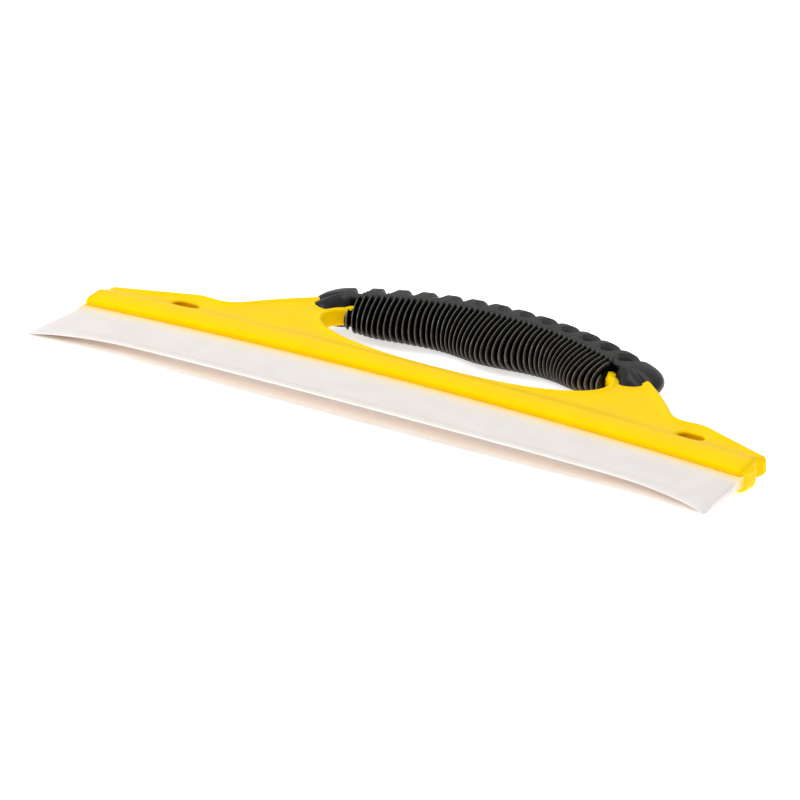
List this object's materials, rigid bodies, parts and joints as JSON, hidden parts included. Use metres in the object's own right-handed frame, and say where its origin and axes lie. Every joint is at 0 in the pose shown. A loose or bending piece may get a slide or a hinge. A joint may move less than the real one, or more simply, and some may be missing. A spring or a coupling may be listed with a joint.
{
  "type": "silicone water blade squeegee",
  "caption": "Hand-held squeegee: a long twin-lip silicone blade in a plastic holder bar with hanging slots, and a closed handle with a ribbed, scooped rubber grip.",
  "frame": {"origin": "middle of the tool's base: the lowest point of the grip's underside, at the middle of the tool's length and depth", "axes": "+X along the blade, -Y towards the blade's working edge and +Y towards the back of the grip, +Z square to the tool's mid-plane"},
  "size_m": [0.3, 0.114, 0.0208],
  "materials": {
    "yellow_plastic": "bright yellow injection-moulded plastic, semi-matte, very fine moulded grain",
    "silicone": "milky translucent off-white silicone, smooth and satin",
    "black_rubber": "black moulded thermoplastic rubber, satin on the end caps, fine matte grain on the back and the ribs"
  },
  "bodies": {
    "handle": {"frame": "yellow_plastic", "end_cap_left": "yellow_plastic", "end_cap_right": "yellow_plastic", "grip": "black_rubber"},
    "blade": {"blade": "silicone"}
  },
  "joints": [
    {"name": "blade_flex", "type": "hinge", "parent": "handle", "child": "blade", "pos_m": [0, -0.01512, 0.0104], "axis": [1, 0, 0], "range_deg": [-8, 8], "stiffness_Nm_per_rad": 0.35}
  ]
}
